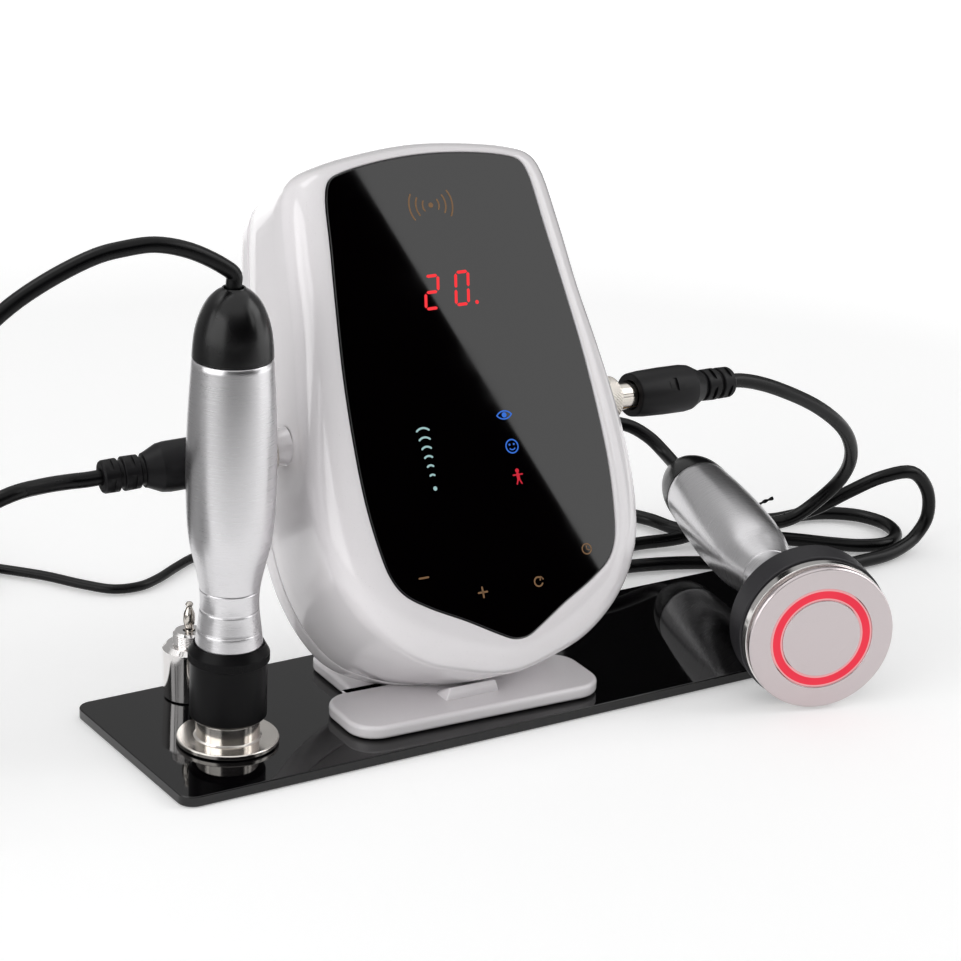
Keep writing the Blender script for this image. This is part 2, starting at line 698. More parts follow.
def side_ring(depth, inset, shift=0.0):
    """The console's outline at a depth behind the widest one, on its way to the back one."""
    share = min(max((-depth - NOSE_DEPTH) / (BACK_DEPTH - NOSE_DEPTH), 0), 1)
    return at_depth(moved_out(part_way(NOSE_RING, BACK_RING, share), -inset), depth + shift)


def front_shell_rings():
    """Round the front shell: the panel's seat, the rim, the side, the seam and back along the inside."""
    floor = PANEL_PROUD - PANEL_THICKNESS - FIT
    rings = [at_depth(moved_out(PANEL_RING, out), depth) for out, depth in (
        (-3.4, floor), (0.25, floor), (0.25, -0.5), (0.32, -0.22), (0.5, -0.06), (0.8, 0.0),
    )]
    for angle in [k / 16 * QUARTER for k in range(2, 17)]:
        rings.append(
            at_depth(part_way(PANEL_RING, NOSE_RING, math.sin(angle)), -NOSE_DEPTH * (1 - math.cos(angle)))
        )
    rings += [side_ring(*at) for at in (
        (-24, 0), (-34, 0), (-44, 0), (-SEAM + 0.7, 0), (-SEAM, 0.12, 0.25), (-SEAM, 0.5), (-SEAM, WALL),
        (-34, WALL), (-NOSE_DEPTH - 2, WALL),
    )]
    rings.append(at_depth(moved_out(part_way(PANEL_RING, NOSE_RING, 0.7), -WALL), -6.5))
    return rings + [at_depth(moved_out(PANEL_RING, out), floor - 2.2) for out in (1, -3.4)]


FOOT_LEVEL = 9.8


def cut_flat(builder):
    """The console's foot, cut level just above the stand."""
    inverse = CONSOLE.inverted()
    point = inverse @ Vector((*CONSOLE.translation.xy, FOOT_LEVEL))
    normal = (inverse.to_3x3() @ Vector((0, 0, -1))).normalized()
    geometry = [*builder.verts, *builder.edges, *builder.faces]
    section = bmesh.ops.bisect_plane(
        builder, geom=geometry, dist=1e-4, plane_co=point, plane_no=normal, clear_outer=True
    )["geom_cut"]
    edges = [e for e in section if isinstance(e, bmesh.types.BMEdge)]
    bmesh.ops.triangle_fill(builder, use_beauty=True, use_dissolve=False, edges=edges)


def console_shell(name, builder, replaced):
    cut_flat(builder)
    return piece(name, builder, CONSOLE, 35, WHITE_SHELL, (replaced,))


def rear_shell_rings():
    top = -SEAM - SEAM_GAP
    rings = [side_ring(*at) for at in (
        (top, WALL), (top, 0.5), (top, 0.12, -0.25), (top - 0.7, 0), (top - 2.5, 0), (-BACK_DEPTH, 0),
    )]
    for angle in [k / 12 * QUARTER for k in range(1, 13)]:
        share = 1 - (1 - BACK_SHARE) * (1 - math.cos(angle))
        rings.append(
            at_depth(shrunk(BACK_RING, share), -BACK_DEPTH - (CONSOLE_DEPTH - BACK_DEPTH) * math.sin(angle))
        )
    inner = moved_out(BACK_RING, -WALL)
    return [
        *rings[::-1], side_ring(-SEAM - 1, WALL), side_ring(-58, WALL),
        at_depth(shrunk(inner, 0.88), -66), at_depth(shrunk(inner, 0.74), -CONSOLE_DEPTH + WALL),
    ]


def cutter(builder, place):
    return new_object("cutter", placed_mesh("cutter", builder, place))


def box_cutter(place, at, size):
    builder = bmesh.new()
    bmesh.ops.create_cube(builder, size=1, matrix=at @ Matrix.Diagonal((*size, 1)))
    return cutter(builder, place)


def cut_away(obj, tools):
    """Cuts the tools out of a mesh, keeps its sharp edges sharp, and removes the tools."""
    for tool in tools:
        modifier = obj.modifiers.new("cut", "BOOLEAN")
        modifier.operation, modifier.solver, modifier.object = "DIFFERENCE", "EXACT", tool
    bpy.context.view_layer.update()
    evaluated = obj.evaluated_get(bpy.context.evaluated_depsgraph_get())
    mesh = bpy.data.meshes.new_from_object(evaluated)
    obj.modifiers.clear()
    old, obj.data = obj.data, smoothed(mesh, 35)
    bpy.data.meshes.remove(old)
    for tool in tools:
        bpy.data.objects.remove(tool)


def rounded_box_outline(width, height, corner, steps=6):
    """A rounded rectangle's outline, clockwise like the console's."""
    points = []
    for sx, sy, start in ((1, 1, 90), (1, -1, 0), (-1, -1, -90), (-1, 1, 180)):
        points += arc(
            (sx * (width / 2 - corner), sy * (height / 2 - corner)), corner, start, start - 90, steps
        )
    return points


def slab(ring, low, high, edge, steps=4):
    """A bmesh of an outline's slab with rounded edges."""
    if edge <= 0:
        return lofted([at_depth(ring, low), at_depth(ring, high)])
    rings = [at_depth(moved_out(ring, -edge - 0.1), low)]
    for angle in [k / steps * QUARTER for k in range(steps + 1)]:
        rings.append(
            at_depth(moved_out(ring, -edge * (1 - math.sin(angle))), low + edge * (1 - math.cos(angle)))
        )
    rings.append(at_depth(ring, low + edge + min(0.1, (high - low) / 2 - edge)))
    mirrored = [[(x, y, low + high - z) for x, y, z in ring_] for ring_ in rings[::-1]]
    return lofted([*rings, *mirrored])


SCREWS_AT = [(-34, 78), (34, 78), (-40, -44), (40, -44)]
ROCKER_AT, ROCKER_OPENING = (-20, -22), (12.6, 18.6)
SCREW_HOLE = [(0, -4), (3.5, -4), (3.5, 2.4), (1.7, 2.4), (1.7, 12), (0, 12)]
INLET_HOLE = [(0, -4), (5.8, -4), (5.8, 12), (0, 12)]


def console():
    console_shell("console_front", lofted(front_shell_rings(), closed=True), "front_shell")
    rear = console_shell("console_rear", lofted(rear_shell_rings()), "rear_shell")
    holes = [(turned(SCREW_HOLE, 32), at) for at in SCREWS_AT]
    holes.append((turned(INLET_HOLE, 40), INLET_AT))
    holes.append((slab(rounded_box_outline(*ROCKER_OPENING, 1.0), -4, 12, 0.0), ROCKER_AT))
    cut_away(rear, [cutter(builder, CONSOLE @ moved(*at, -CONSOLE_DEPTH)) for builder, at in holes])
    panel = slab(moved_out(PANEL_RING, -0.02), PANEL_PROUD - PANEL_THICKNESS, PANEL_PROUD, 0.32)
    piece("console_panel", panel, CONSOLE, 30, PANEL_GLASS, ("front_panel",))


console()


TIE_AT = Vector((184, 71.8, 9.7))
TIE_BAND = [(2.85, -0.9), (3.6, -0.9), (3.6, 0.9), (2.85, 0.9)]
TIE_ENDS = ((1.0, -0.2, 2.6), (3.8, 0.6, 6.8), (9.5, -1.7, 9.9))


def twist_tie():
    """A thin tie round the body lead, its two ends twisted together and standing up."""
    line = [point.co.to_3d() / MM for point in BODY_CORD.data.splines[0].points]
    near = min(range(1, len(line) - 1), key=lambda k: (line[k] - TIE_AT).length)
    at, along = line[near], line[near + 1] - line[near - 1]
    place = Matrix.Translation(at) @ along.to_track_quat("Z", "Y").to_matrix().to_4x4()
    turned_piece(
        "tie_band", TIE_BAND, place, RUBBER_BLACK, radius=0.25, segments=48, closed=True
    )
    path = spline([at + Vector(p) for p in TIE_ENDS], 16)
    rings = []
    for k, point in enumerate(path):
        ahead = (path[min(k + 1, len(path) - 1)] - path[max(k - 1, 0)]).normalized()
        across = Matrix.Rotation(math.radians(26 * k), 3, ahead) @ ahead.cross(Vector((0, 0, 1))).normalized()
        upward = ahead.cross(across)
        rings.append([point + across * 0.85 * flat.x + upward * 0.45 * flat.y for flat in circle(1, 0, 12)])
    piece("tie_ends", lofted(rings), Matrix.Identity(4), SHARP, RUBBER_BLACK)


# Base plate and stand

PLATE_SIZE, PLATE_CORNER, PLATE_THICKNESS = (300, 90.4), 6, 4


def base_plate():
    builder = slab(rounded_box_outline(*PLATE_SIZE, PLATE_CORNER, 10), 0, PLATE_THICKNESS, 0.45)
    piece("acrylic_plate", builder, Matrix.Identity(4), 30, BLACK_ACRYLIC, ("base_plate",))


def stand_outline():
    """Front lobe and rear tongue in one outline, clockwise, with soft inner corners."""
    half, depth, corner = 53, 17, 11
    tongue, reach, back, inner = 39, 56, 9, 4
    right = [
        *arc((tongue - back, reach - back), back, 90, 0, 8),
        *arc((tongue + inner, depth + inner), inner, 180, 270, 8),
        *arc((half - corner, depth - corner), corner, 90, 0, 8),
        *arc((half - corner, -depth + corner), corner, 0, -90, 8),
    ]
    return [*right, *[Vector((-p.x, p.y)) for p in reversed(right)]]


def wedge(corners):
    """A bmesh of an eight cornered block, the same on both sides of the middle, its edges eased."""
    builder = bmesh.new()
    for half, y, z in corners:
        builder.verts.new((-half, y, z))
        builder.verts.new((half, y, z))
    bmesh.ops.convex_hull(builder, input=builder.verts)
    bmesh.ops.dissolve_limit(builder, angle_limit=0.01, verts=builder.verts, edges=builder.edges)
    bmesh.ops.recalc_face_normals(builder, faces=builder.faces)
    bmesh.ops.bevel(builder, geom=[*builder.edges], offset=0.7, segments=3, affect="EDGES", profile=0.6)
    return builder


STAND_TO_CONSOLE, PROP_GAP = 2.75, 0.64


def back_at(height):
    """How far back the console's back is at a height above the plate, on the stand."""
    lean = math.radians(LEAN)
    forward = (CONSOLE_HEIGHT - PLATE_TOP - height) * math.tan(lean)
    return CONSOLE_DEPTH / math.cos(lean) - forward + STAND_TO_CONSOLE + PROP_GAP


def stand():
    builder = slab(stand_outline(), 0, 5.2, 1.5, 6)
    low, high, half = 3.6, 35.2, 20
    joined(builder, wedge([(12, -6.5, low), (9.75, -6.2, 10.2), (12, 3.1, low), (9.75, 3.1, 5.5)]))
    joined(builder, wedge([
        (half, back_at(low), low), (half, back_at(high), high), (half, back_at(low) + 17, low),
        (half, back_at(high) + 5, high),
    ]))
    piece("stand_body", builder, STAND, 35, WHITE_SHELL, ("stand",))


twist_tie()
base_plate()
stand()


# Ridges round a ring, for knurled collars

def ridge_ring_tree():
    tree, given, results = node_group("ridge ring", "GeometryNodeTree", {
        "Ridges": 40, "Ring Radius": 0.015, "Ridge Radius": 0.0005, "Ridge Length": 0.003,
        "Material": "Material",
    }, {"Geometry": "Geometry"})
    ring = add_node(tree, "GeometryNodeMeshCircle", None, {
        "Vertices": given["Ridges"], "Radius": given["Ring Radius"],
    })
    ridge = add_node(tree, "GeometryNodeMeshCylinder", None, {
        "Vertices": 8, "Radius": given["Ridge Radius"], "Depth": given["Ridge Length"],
    })
    copies = add_node(tree, "GeometryNodeInstanceOnPoints", None, {
        "Points": ring.outputs["Mesh"], "Instance": ridge.outputs["Mesh"],
    })
    real = add_node(tree, "GeometryNodeRealizeInstances", None, {"Geometry": copies.outputs["Instances"]})
    coated = add_node(tree, "GeometryNodeSetMaterial", None, {
        "Geometry": real.outputs["Geometry"], "Material": given["Material"],
    })
    tree.links.new(coated.outputs["Geometry"], results["Geometry"])
    return tree


def grown(tree, values, place):
    """What a geometry tree makes, put in place as a plain mesh."""
    holder = new_object("holder", bpy.data.meshes.new("holder"))
    modifier = holder.modifiers.new("growth", "NODES")
    modifier.node_group = tree
    for item in tree.interface.items_tree:
        if item.item_type == "SOCKET" and item.in_out == "INPUT":
            modifier[item.identifier] = values[item.name]
    bpy.context.view_layer.update()
    mesh = bpy.data.meshes.new_from_object(holder.evaluated_get(bpy.context.evaluated_depsgraph_get()))
    bpy.data.objects.remove(holder)
    mesh.transform(place_in_metres(place))
    return smoothed(mesh, 35)


RIDGE_RING = ridge_ring_tree()


def collar_ridges(name, length, place, body):
    """Fine ridges round a collar's ring, below its chamfer."""
    low, high = length - 6.5, length - 3.8
    mesh = grown(RIDGE_RING, {
        "Ridges": 132, "Ring Radius": 14.75 * MM, "Ridge Radius": 0.17 * MM,
        "Ridge Length": (high - low) * MM, "Material": COLLAR_BLACK,
    }, place @ moved(0, 0, (low + high) / 2))
    finished(name, mesh, COLLAR_BLACK, body=body)


# Sockets, nuts and plugs on the console's flanks

NUT_LOW, NUT_HIGH, NUT_RADIUS, NUT_BORE = 4.3, 10.0, 8.55, 5.7
PLUG_FRONT, PLUG_TAIL = 19.3, 69.2
BARREL = [(0, -9.5), (7.4, -11.8), (7.4, -6), (5.4, -6), (5.4, 24.0), (5.0, 24.3), (3.4, 24.3), (3.4, -9.5)]
FLANK_FOOT = {
    "left": [(7.4, -1.6), (6.9, 0.3), (6.4, 1.8), (6.1, 4.0)],
    "right": [(11.4, -2.6), (9.2, -0.6), (8.0, 1.4), (8.0, 4.0)],
}
FACING_PHOTO = {"left": (-4.6, 5.4), "right": (-174.7, -184.7)}


def knurled_nut(name, place, replaced):
    """A nut with fine crossed knurling, its edges plain."""
    count, segments, rows, depth = 40, 240, 22, 0.28
    middle = []
    for t in [row / rows for row in range(rows + 1)]:
        z = NUT_LOW + 0.25 + (NUT_HIGH - NUT_LOW - 0.5) * t
        ease = min(1, 8 * t, 8 * (1 - t))
        ring = []
        for k, point in enumerate(circle(1, 0, segments)):
            half = count * TURN * k / segments / 2
            cross = math.sin(half + z * 2.3) * math.sin(half - z * 2.3)
            ring.append(
                point * (NUT_RADIUS - depth * (1 - ease * min(1, 1.5 * abs(cross)))) + Vector((0, 0, z))
            )
        middle.append(ring)
    rims = [
        [circle(radius, z, segments) for radius in (NUT_BORE, NUT_RADIUS - 0.55)] for z in (NUT_LOW, NUT_HIGH)
    ]
    builder = lofted([*rims[0], *middle, *rims[1][::-1]], closed=True)
    piece(name, builder, place, 50, PLAIN_NICKEL, (replaced,))


def plug_profile():
    ribs = []
    for at in (54.3, 62.2):
        ribs += [(6.35, at - 0.95), (5.1, at - 0.75), (5.1, at + 0.75), (6.2, at + 0.95)]
    return [
        (0, PLUG_FRONT + 5.3), (5.7, PLUG_FRONT + 5.3), (5.7, PLUG_FRONT), (8.5, PLUG_FRONT),
        (9.0, PLUG_FRONT + 5), (9.3, PLUG_FRONT + 15), (9.3, 44.5), (8.9, 47.5), (6.7, 52.2), (6.4, 53.0),
        *ribs, (6.1, PLUG_TAIL - 0.8), (5.6, PLUG_TAIL), (2.95, PLUG_TAIL), (2.95, PLUG_TAIL - 4),
        (0, PLUG_TAIL - 4),
    ]


def socket_and_plug(side):
    place = FLANKS[side]
    toward, lifted = FACING_PHOTO[side]

    def cut_out(degrees, out, height, size):
        return box_cutter(place, turned_about("Z", degrees) @ moved(out, 0, height), size)

    foot = [*FLANK_FOOT[side], (5.8, 4.0), (5.8, -1)]
    turned_piece(f"{side}_boss", foot, place, WHITE_SHELL, radius=0.8)
    barrel = turned_piece(
        f"{side}_socket_barrel", BARREL, place, PLAIN_NICKEL, (f"{side}_socket",), radius=0.15
    )
    cut_away(barrel, [cut_out(toward + 60 + 120 * k, 5.2, 19.4, (1.2, 0.55, 14)) for k in range(3)])
    knurled_nut(f"{side}_nut", place, f"{side}_socket_nut")
    plug = turned_piece(
        f"{side}_plug_body", plug_profile(), place, RUBBER_BLACK, (f"{side}_plug",), radius=0.5
    )
    slots = [
        cut_out(toward + 45 + 90 * k, 6.9, row, (3.2, 9.5, 1.7)) for row in (58.2, 66.1) for k in range(4)
    ]
    latch = cut_out(lifted, 9.6, 36.0, (2.2, 5.2, 1.7))
    flats = [
        cut_out(lifted, 9.75, height, (1.3, 7.4, length)) for height, length in ((27.8, 10.4), (42.8, 5.6))
    ]
    cut_away(plug, [*slots, latch, *flats])
    return plug


LEFT_PLUG, RIGHT_PLUG = socket_and_plug("left"), socket_and_plug("right")


# Handpieces

HANDLE_LENGTH, HANDLE_RADIUS, CAP_HEIGHT = 110, 16.2, 25.4
HANDLE_SHARES = [
    (0.778, 0), (0.719, 0.072), (0.676, 0.125), (0.66, 0.168), (0.681, 0.215), (0.722, 0.25), (0.778, 0.287),
    (0.846, 0.328), (0.91, 0.372), (0.969, 0.453), (1, 0.64), (0.969, 0.818), (0.895, 1),
]
ENGRAVED = (7.4, 15.3, 23.0)
ENGRAVED_LINE = ((0, -0.28), (0.16, -0.16), (0.18, 0), (0.16, 0.16), (0, 0.28))
CAP_SHARES = [(1, 0), (0.99, 0.12), (0.94, 0.37), (0.83, 0.6), (0.67, 0.79), (0.47, 0.92), (0.3, 0.985)]
FACE_COLLAR_LENGTH, BODY_COLLAR_TOP = 29.6, 39.0


def handle_outside():
    line = spline([(r * HANDLE_RADIUS, z * HANDLE_LENGTH) for r, z in HANDLE_SHARES], 8)
    result = [*line]
    for a, b in zip(line, line[1:]):
        for groove in ENGRAVED:
            if a.y <= groove < b.y:
                radius = a.lerp(b, (groove - a.y) / (b.y - a.y)).x
                result += [Vector((radius - deep, groove + rise)) for deep, rise in ENGRAVED_LINE]
    return sorted(result, key=lambda p: p.y)


def handle_set(name, place, alloy):
    top = HANDLE_LENGTH
    *outside, end = handle_outside()
    profile = [
        (8.2, 0.0), *outside, (end.x, top - 0.35), (end.x - 0.3, top), (11, top), (11, top - 11),
        (8.2, top - 11),
    ]
    grip = turned(profile, 128, closed=True)
    piece(f"{name}_grip", grip, place, 50, alloy, (f"{name}_handle",))

    foot, wide = top + FIT, HANDLE_RADIUS * HANDLE_SHARES[-1][0]
    crown = foot + CAP_HEIGHT
    dome = spline([(r * wide, foot + z * CAP_HEIGHT) for r, z in CAP_SHARES], 6)
    cap = turned([
        (0, top - 9), (10.6, top - 9), (10.6, foot - 0.02), (wide - 0.35, foot - 0.02),
        (wide, foot + 0.3), *dome[1:], (4.1, crown), (3.6, crown - 0.2), (3.4, crown - 5), (0, crown - 5),
    ], 128)
    piece(f"{name}_tail_cap", cap, place, 40, SATIN_BLACK, (f"{name}_cap",))


def collar_top(length):
    """A collar's profile from its ring's foot to its top."""
    return [
        (14.1, length - 6.9), (14.8, length - 6.8), (14.8, length - 3.5), (13.1, length - 0.5),
        (12.9, length), (12.9, length - 2.4), (2.6, length - 2.4),
    ]


def face_handpiece():
    handle_set("face", FACE_HANDLE, FACE_ALLOY)
    turned_piece(
        "face_grip_collar",
        [(8.3, 14.6), (8.3, 0), (12.8, 0), (14.1, 1.3), *collar_top(FACE_COLLAR_LENGTH), (2.6, 14.6)],
        FACE_COLLAR, COLLAR_BLACK, ("face_collar",), "face_head", 0.35, 128, closed=True,
    )
    collar_ridges("face_collar_knurl", FACE_COLLAR_LENGTH, FACE_COLLAR, "face_head")
    turned_piece(
        "face_foot",
        [(0, 1.3), (15.6, 1.3), (15.6, 0), (18.55, 0), (18.85, 0.35), (18.85, 1.65), (18.5, 2.0),
         (12.4, 2.05), (11.7, 2.6), (11.7, 9.0), (11.4, 9.2), (8, 9.2), (8, 23.2), (2.6, 23.2), (2.6, 9.2),
         (0, 9.2)],
        FACE_HEAD, FACE_NICKEL, ("face_electrode",), "face_head", 0.3, 128,
    )


BODY_RINGS = [
    ("disc", [(20.4, 0), (28.3, 0), (28.9, 0.6), (28.9, 1.9), (28.2, 2.6), (20.4, 2.6)],
     DISC_NICKEL, "brushed", ("body_face_ring",), 0.35, 160),
    ("disc_band", [(26.1, 2.6), (27.4, 2.6), (27.4, 4.0), (29.1, 4.2), (29.1, 8.4), (26.1, 8.4)],
     BAND_NICKEL, "nickel", (), 0.3, 160),
    ("ring_light", [(16.5, 0.15), (19.5, 0.15), (19.5, 3.0), (16.5, 3.0)], LIT_RED, "red_light",
     ("body_light_ring",), 0.1, 128),
    *[
        (f"ring_{name}_edge", [(low, 0.12), (high, 0.12), (high, 2.9), (low, 2.9)], LIT_PALE, "red_light",
         (), 0.1, 128)
        for name, low, high in (("inner", 15.9, 16.48), ("outer", 19.52, 20.1))
    ],
]


def body_handpiece():
    handle_set("body", BODY_HANDLE, BODY_ALLOY)
    for name, profile, material, slot, replaced, radius, segments in BODY_RINGS:
        turned_piece(
            f"body_{name}", profile, BODY_HEAD, material, replaced, "body_head", radius, segments,
            closed=True,
        )
    turned_piece(
        "body_disc_centre", [(0, 0), (15.6, 0), (15.6, 3.0), (0, 3.0)], BODY_HEAD, DISC_NICKEL,
        ("body_centre_disc",), "body_head", 0.25, 128,
    )
    turned_piece(
        "body_cup_shell",
        [(0, 5.2), (25.8, 5.2), (25.8, 8.7), (29.6, 8.7), (29.9, 9.1), (29.9, 20.6), (29.2, 21.9),
         (28.0, 22.3), (15.2, 25.9), (14.1, 27.2), *collar_top(BODY_COLLAR_TOP), (2.6, 6.8), (0, 6.8)],
        BODY_HEAD, CUP_BLACK, ("body_cup",), "body_head", 0.6, 160,
    )
    collar_ridges("body_collar_knurl", BODY_COLLAR_TOP, BODY_HEAD, "body_head")


face_handpiece()
body_handpiece()


# Spare tip and its spring pin

PIN_SHARES = [(0.55, 0.08), (0.92, 0.28), (1, 0.46), (0.9, 0.62), (0.48, 0.84), (0.68, 0.91), (0.45, 0.98)]
PIN_FOOT, PIN_LENGTH, PIN_SHANK = 20.6, 17.2, 5
TIP_SHOULDER, TIP_NECK = 21.3, 5.0


def spring_pin():
    """A pin with four bowed leaves round a core, and a small knob on its end."""
    shank, bulge, leaf = 1.9, 2.25, PIN_LENGTH - PIN_SHANK
    start = PIN_FOOT + PIN_SHANK
    line = spline([(bulge * r, start + leaf * z) for r, z in PIN_SHARES], 6)
    profile = [(0, PIN_FOOT), (shank, PIN_FOOT), (shank, start - 0.3), (shank * 0.8, start), *line]
    pin = turned_piece(
        "eye_tip_pin", [*profile, (0, PIN_FOOT + PIN_LENGTH)], SPARE_TIP, PLAIN_NICKEL,
        ("eye_pin",), radius=0.15, segments=48,
    )
    low, high = start + leaf * 0.14, start + leaf * 0.8
    middle = SPARE_TIP @ moved(0, 0, (low + high) / 2)
    cut_away(pin, [
        box_cutter(middle @ turned_about("Z", degrees), moved(side * 2.2, 0, 0), (2.4, 0.5, high - low))
        for degrees in (0, 90) for side in (-1, 1)
    ])


def spare_tip():
    radius, depth, turns = 6.2, 0.5, 6
    top, pitch = TIP_SHOULDER + TIP_NECK, (TIP_NECK - 0.8) / turns
    thread = []
    for at in [TIP_SHOULDER + 0.2 + pitch * k for k in range(turns)]:
        thread += [(radius - depth, at), (radius, at + pitch * 0.5)]
    turned_piece("eye_tip_body", [
        (0, 0), (9.0, 0), (9.3, 0.3), (9.65, 7), (10, 19.4), (8.4, TIP_SHOULDER - 0.3),
        (5.7, TIP_SHOULDER - 0.25), *thread, (5.7, top - 0.5), (5.2, top), (2.3, top), (2.3, top - 6),
        (0, top - 6),
    ], SPARE_TIP, TIP_CHROME, ("eye_tip",), radius=0.12)


spare_tip()
spring_pin()


# Back of the console: the inlet and its plug

def back_fittings():
    place = CONSOLE @ moved(*INLET_AT, -CONSOLE_DEPTH)
    turned_piece("inlet_bush", [
        (2.9, -1.5), (6.6, -1.5), (7.0, -1.1), (7.0, -0.3), (5.5, -0.3), (5.5, 12), (0, 12), (0, 10.8),
        (2.9, 10.8),
    ], place, SATIN_BLACK, ("power_inlet",), radius=0.2)
    ribs = []
    for at in (-5, -7, -9, -11, -13):
        ribs += [(5.0, at + 0.5), (4.5, at + 0.35), (4.5, at - 0.35), (5.0, at - 0.5)]
    turned_piece("power_plug_grip", [
        (0, 6.2), (2.6, 6.2), (2.6, -1.8), (4.6, -1.8), (5.0, -2.3), *ribs, (5.0, -14.2), (3.4, -20.6),
        (3.1, -21.8), (2.25, -21.8), (2.25, -18.6), (0, -18.6),
    ], place, RUBBER_BLACK, ("power_plug",), radius=0.2)


back_fittings()


# Marks on the panel: digits, level arcs, mode marks and key marks, all plain

MARK_LIFT, MARK_THICKNESS = 0.02, 0.03
DIGIT_WIDTH, DIGIT_HALF_HEIGHT, DIGIT_SLANT, DIGIT_STROKE = 5.2, 6.0, 0.2, 1.15


def flat_piece(name, shapes, material):
    """Flat outlines lying just above the panel, in one thin piece."""
    builder = bmesh.new()
    low = PANEL_PROUD + MARK_LIFT
    for shape in shapes:
        bottom, top = ([builder.verts.new((x, y, z)) for x, y in shape] for z in (low, low + MARK_THICKNESS))
        builder.faces.new(bottom[::-1])
        builder.faces.new(top)
        walled(builder, bottom, top)
    piece(name, builder, CONSOLE, 20, material)


def disc(centre, radius):
    return arc(centre, radius, 0, 360, 20)[:-1]


def stroke(points, width):
    """A line's outline with round ends."""
    line = [Vector(p) for p in points]
    left, right = [], []
    for i, point in enumerate(line):
        along = (line[min(i + 1, len(line) - 1)] - line[max(i - 1, 0)]).normalized()
        across = Vector((-along.y, along.x)) * width / 2
        left.append(point + across)
        right.append(point - across)

    def end_round(centre, start):
        angle = math.degrees(math.atan2(start.y - centre.y, start.x - centre.x))
        return arc(centre, width / 2, angle, angle - 180, 6)[1:-1]

    return [*left, *end_round(line[-1], left[-1]), *right[::-1], *end_round(line[0], right[0])]


def bent(centre, radius, start, end, width, steps=14):
    return stroke(arc(centre, radius, start, end, steps), width)


SEGMENT_ENDS = {
    "a": ((0, 2), (1, 2)), "b": ((1, 2), (1, 1)), "c": ((1, 1), (1, 0)), "d": ((0, 0), (1, 0)),
    "e": ((0, 1), (0, 0)), "f": ((0, 2), (0, 1)), "g": ((0, 1), (1, 1)),
}


def digit(centre, lit_segments):
    shapes = []
    for name in lit_segments:
        a, b = (
            Vector(centre) + Vector(((x - 0.5) * DIGIT_WIDTH + DIGIT_SLANT * (y - 1) * DIGIT_HALF_HEIGHT,
                                     (y - 1) * DIGIT_HALF_HEIGHT))
            for x, y in SEGMENT_ENDS[name]
        )
        along = (b - a).normalized()
        across = Vector((-along.y, along.x)) * DIGIT_STROKE / 2
        tip, body = along * (DIGIT_STROKE * 0.28), along * (DIGIT_STROKE * 0.78)
        shapes.append(
            [a + tip, a + body + across, b - body + across, b - tip, b - body - across, a + body - across]
        )
    return shapes


def panel_marks():
    number = [*digit((-7.8, 54.4), "abged"), *digit((4.9, 54.5), "abcdef"), disc((9.9, 48.6), 0.75)]
    flat_piece("digit_segments", number, DIGIT_RED)
    arcs = []
    for k in range(6):
        size = 3.7 - 0.48 * k
        arcs.append(bent((-23 + 0.05 * k, 4.4 - 3.35 * k - size * 0.75), size, 48, 132, 0.72))
    flat_piece("level_marks", [*arcs, disc((-22.7, -17.2), 0.8)], MARK_PALE)
    eye = [
        bent((11.5, 3.2), 3.9, 38, 142, 0.5), bent((11.5, 8.0), 3.9, 218, 322, 0.5), disc((11.5, 5.6), 1.0),
    ]
    face = [
        bent((12.1, -6.3), 2.5, 0, 350, 0.5, 28), disc((11.2, -5.6), 0.4), disc((13.0, -5.6), 0.4),
        bent((12.1, -6.3), 1.3, 220, 320, 0.42),
    ]
    flat_piece("mode_marks_blue", [*eye, *face], MARK_BLUE)
    figure = [
        disc((12.1, -15.5), 0.8), stroke([(12.1, -16.8), (12.1, -18.6)], 1.3),
        stroke([(10.2, -17.0), (14.0, -17.0)], 0.55), stroke([(11.9, -18.6), (11.1, -20.4)], 0.55),
        stroke([(12.3, -18.6), (13.1, -20.4)], 0.55),
    ]
    flat_piece("mode_marks_red", figure, MARK_RED)
    minus = [stroke([(-36.3, -48.5), (-32.7, -48.5)], 0.7)]
    plus = [stroke([(-13.8, -57.4), (-10.2, -57.4)], 0.7), stroke([(-12, -55.6), (-12, -59.2)], 0.7)]
    mode = [
        bent((11.6, -57.2), 1.7, 60, 330, 0.6, 20), stroke([(12.4, -56.7), (12.9, -55.4), (13.7, -56.5)], 0.5)
    ]
    clock = [
        bent((34.4, -48.4), 1.9, 0, 350, 0.5, 28), stroke([(34.4, -47.2), (34.4, -48.5), (35.3, -48.9)], 0.45)
    ]
    rays = [
        bent((-1, 86.6), reach, side - 32, side + 32, 0.65) for side in (0, 180) for reach in (3.4, 6.2, 9.0)
    ]
    key_shapes = [*minus, *plus, *mode, *clock, disc((-1, 86.6), 1.0), *rays]
    flat_piece("key_marks", key_shapes, MARK_GOLD)


panel_marks()


# Mains adapter beside the coil

RELIEF = [
    (0, -13), (3.4, -13), (3.4, -9), (2.9, -8.6), (2.9, -7.8), (3.3, -7.4), (3.25, -5), (2.8, -4.6),
    (2.8, -3.8), (3.1, -3.4), (2.9, 0), (0, 0),
]


ADAPTER_LENGTH, ADAPTER_WIDTH, ADAPTER_HEIGHT, ADAPTER_BACK = 62, 38, 27, 12


